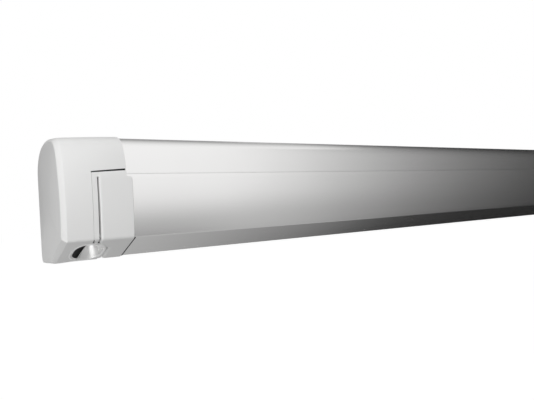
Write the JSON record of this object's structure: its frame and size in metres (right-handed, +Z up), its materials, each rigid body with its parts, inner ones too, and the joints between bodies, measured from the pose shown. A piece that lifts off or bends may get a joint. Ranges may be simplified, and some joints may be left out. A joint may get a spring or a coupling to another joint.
{
  "type": "roll out awning",
  "caption": "Closed wall-mounted cassette awning with plastic end caps; folding arms push out a lead rail and fabric, a crank drives the roller and legs fold down.",
  "frame": {"origin": "middle of the centre bracket's two bolt holes, in the plane of the wall", "axes": "+X along the awning to the right as seen from in front, +Y into the wall, +Z up"},
  "size_m": [1.9, 0.093, 0.13],
  "materials": {
    "anodised": "satin silver anodised",
    "cap_plastic": "satin light grey moulding",
    "cast_metal": "cast, powder coated grey",
    "bracket_metal": "grey powder coat",
    "steel": "zinc plated",
    "brass": "bare",
    "rubber": "matt black",
    "cloth": "coated cloth",
    "dark_plastic": "moulded, matt"
  },
  "bodies": {
    "cassette": {"housing": "anodised", "left_end_cap": "cap_plastic", "right_end_cap": "cap_plastic", "left_end_plate": "cast_metal", "right_end_plate": "cast_metal", "end_plate_screws": "steel", "left_wall_bracket": "bracket_metal", "centre_wall_bracket": "bracket_metal", "right_wall_bracket": "bracket_metal", "wall_seal": "rubber", "gear_case": "cast_metal", "gear_cover": "dark_plastic", "drive_bush": "brass", "idle_bush": "brass", "left_shoulder_bracket": "cast_metal", "right_shoulder_bracket": "cast_metal", "shoulder_pins": "steel"},
    "roller": {"roller_tube": "anodised", "fabric_roll": "cloth", "drive_shaft": "steel", "idle_plug": "dark_plastic", "worm_wheel": "brass"},
    "crank_drive": {"worm": "steel", "crank_shaft": "steel"},
    "canopy": {"canopy_fabric": "cloth"},
    "left_upper_arm": {"left_upper_arm_tube": "anodised", "left_shoulder_knuckle": "cast_metal", "left_elbow_fork": "cast_metal", "left_elbow_pin": "steel", "left_arm_spring": "steel"},
    "left_forearm": {"left_forearm_tube": "anodised", "left_elbow_knuckle": "cast_metal", "left_wrist_knuckle": "cast_metal"},
    "right_upper_arm": {"right_upper_arm_tube": "anodised", "right_shoulder_knuckle": "cast_metal", "right_elbow_fork": "cast_metal", "right_elbow_pin": "steel", "right_arm_spring": "steel"},
    "right_forearm": {"right_forearm_tube": "anodised", "right_elbow_knuckle": "cast_metal", "right_wrist_knuckle": "cast_metal"},
    "lead_rail": {"lead_rail": "anodised", "left_rail_cap": "cap_plastic", "right_rail_cap": "cap_plastic", "keder_rope": "dark_plastic", "left_wrist_bracket": "cast_metal", "right_wrist_bracket": "cast_metal", "wrist_pins": "steel", "leg_pins": "steel"},
    "left_leg": {"left_leg_tube": "anodised", "left_leg_clamp": "dark_plastic"},
    "left_clamp_lever": {"left_clamp_lever": "dark_plastic"},
    "left_inner_leg": {"left_inner_leg": "anodised"},
    "left_foot": {"left_foot": "dark_plastic"},
    "right_leg": {"right_leg_tube": "anodised", "right_leg_clamp": "dark_plastic"},
    "right_clamp_lever": {"right_clamp_lever": "dark_plastic"},
    "right_inner_leg": {"right_inner_leg": "anodised"},
    "right_foot": {"right_foot": "dark_plastic"}
  },
  "joints": [
    {"name": "left_shoulder", "type": "hinge", "parent": "cassette", "child": "left_upper_arm", "pos_m": [-0.84, -0.026, -0.00164], "axis": [0, 0.1736, -0.9848], "range_deg": [0, 70]},
    {"name": "left_elbow", "type": "hinge", "parent": "left_upper_arm", "child": "left_forearm", "pos_m": [-0.095, -0.03979, -0.00407], "axis": [0, 0.1736, -0.9848], "range_deg": [-140.01, 0]},
    {"name": "left_wrist", "type": "hinge", "parent": "left_forearm", "child": "lead_rail", "pos_m": [-0.84, -0.05357, -0.0065], "axis": [0, 0.1736, -0.9848], "range_deg": [0, 70.01]},
    {"name": "right_shoulder", "type": "hinge", "parent": "cassette", "child": "right_upper_arm", "pos_m": [0.84, -0.026, -0.00164], "axis": [0, -0.1736, 0.9848], "range_deg": [0, 70.01]},
    {"name": "right_elbow", "type": "hinge", "parent": "right_upper_arm", "child": "right_forearm", "pos_m": [0.095, -0.03979, -0.00407], "axis": [0, -0.1736, 0.9848], "range_deg": [-140.01, 0]},
    {"name": "roller_turn", "type": "hinge", "parent": "cassette", "child": "roller", "pos_m": [0, -0.046, 0.042], "axis": [-1, 0, 0], "range_deg": [0, 2932.6]},
    {"name": "crank_turn", "type": "hinge", "parent": "cassette", "child": "crank_drive", "pos_m": [-0.919, -0.0696, 0.042], "axis": [0, 0, -1], "range_deg": [0, 29326]},
    {"name": "canopy_run", "type": "slide", "parent": "cassette", "child": "canopy", "axis": [0, -0.9848, -0.1736], "range_m": [0, 1.3818]},
    {"name": "left_leg_swing", "type": "hinge", "parent": "lead_rail", "child": "left_leg", "pos_m": [-0.866, -0.0399, -0.0345], "axis": [0, 1, 0], "range_deg": [0, 90]},
    {"name": "left_clamp_swing", "type": "hinge", "parent": "left_leg", "child": "left_clamp_lever", "pos_m": [0.049, -0.0399, -0.0449], "axis": [0, -1, 0], "range_deg": [0, 90]},
    {"name": "left_leg_slide", "type": "slide", "parent": "left_leg", "child": "left_inner_leg", "axis": [1, 0, 0], "range_m": [0, 0.72]},
    {"name": "left_foot_swing", "type": "hinge", "parent": "left_inner_leg", "child": "left_foot", "pos_m": [0.086, -0.0399, -0.0345], "axis": [0, 1, 0], "range_deg": [0, 90]},
    {"name": "right_leg_swing", "type": "hinge", "parent": "lead_rail", "child": "right_leg", "pos_m": [0.866, -0.0241, -0.0345], "axis": [0, -1, 0], "range_deg": [0, 90]},
    {"name": "right_clamp_swing", "type": "hinge", "parent": "right_leg", "child": "right_clamp_lever", "pos_m": [-0.049, -0.0241, -0.0449], "axis": [0, 1, 0], "range_deg": [0, 90]},
    {"name": "right_leg_slide", "type": "slide", "parent": "right_leg", "child": "right_inner_leg", "axis": [-1, 0, 0], "range_m": [0, 0.72]},
    {"name": "right_foot_swing", "type": "hinge", "parent": "right_inner_leg", "child": "right_foot", "pos_m": [-0.086, -0.0241, -0.0345], "axis": [0, -1, 0], "range_deg": [0, 90]}
  ],
  "couplings": [
    {"joint": "left_elbow", "follows": "left_shoulder", "ratio": -2},
    {"joint": "left_wrist", "follows": "left_shoulder", "ratio": 1},
    {"joint": "right_shoulder", "follows": "left_shoulder", "ratio": 1},
    {"joint": "right_elbow", "follows": "left_shoulder", "ratio": -2},
    {"joint": "roller_turn", "follows": "left_shoulder", "ratio": 41.887},
    {"joint": "crank_turn", "follows": "left_shoulder", "ratio": 418.87},
    {"joint": "canopy_run", "follows": "left_shoulder", "m_per_rad": 1.1309}
  ]
}
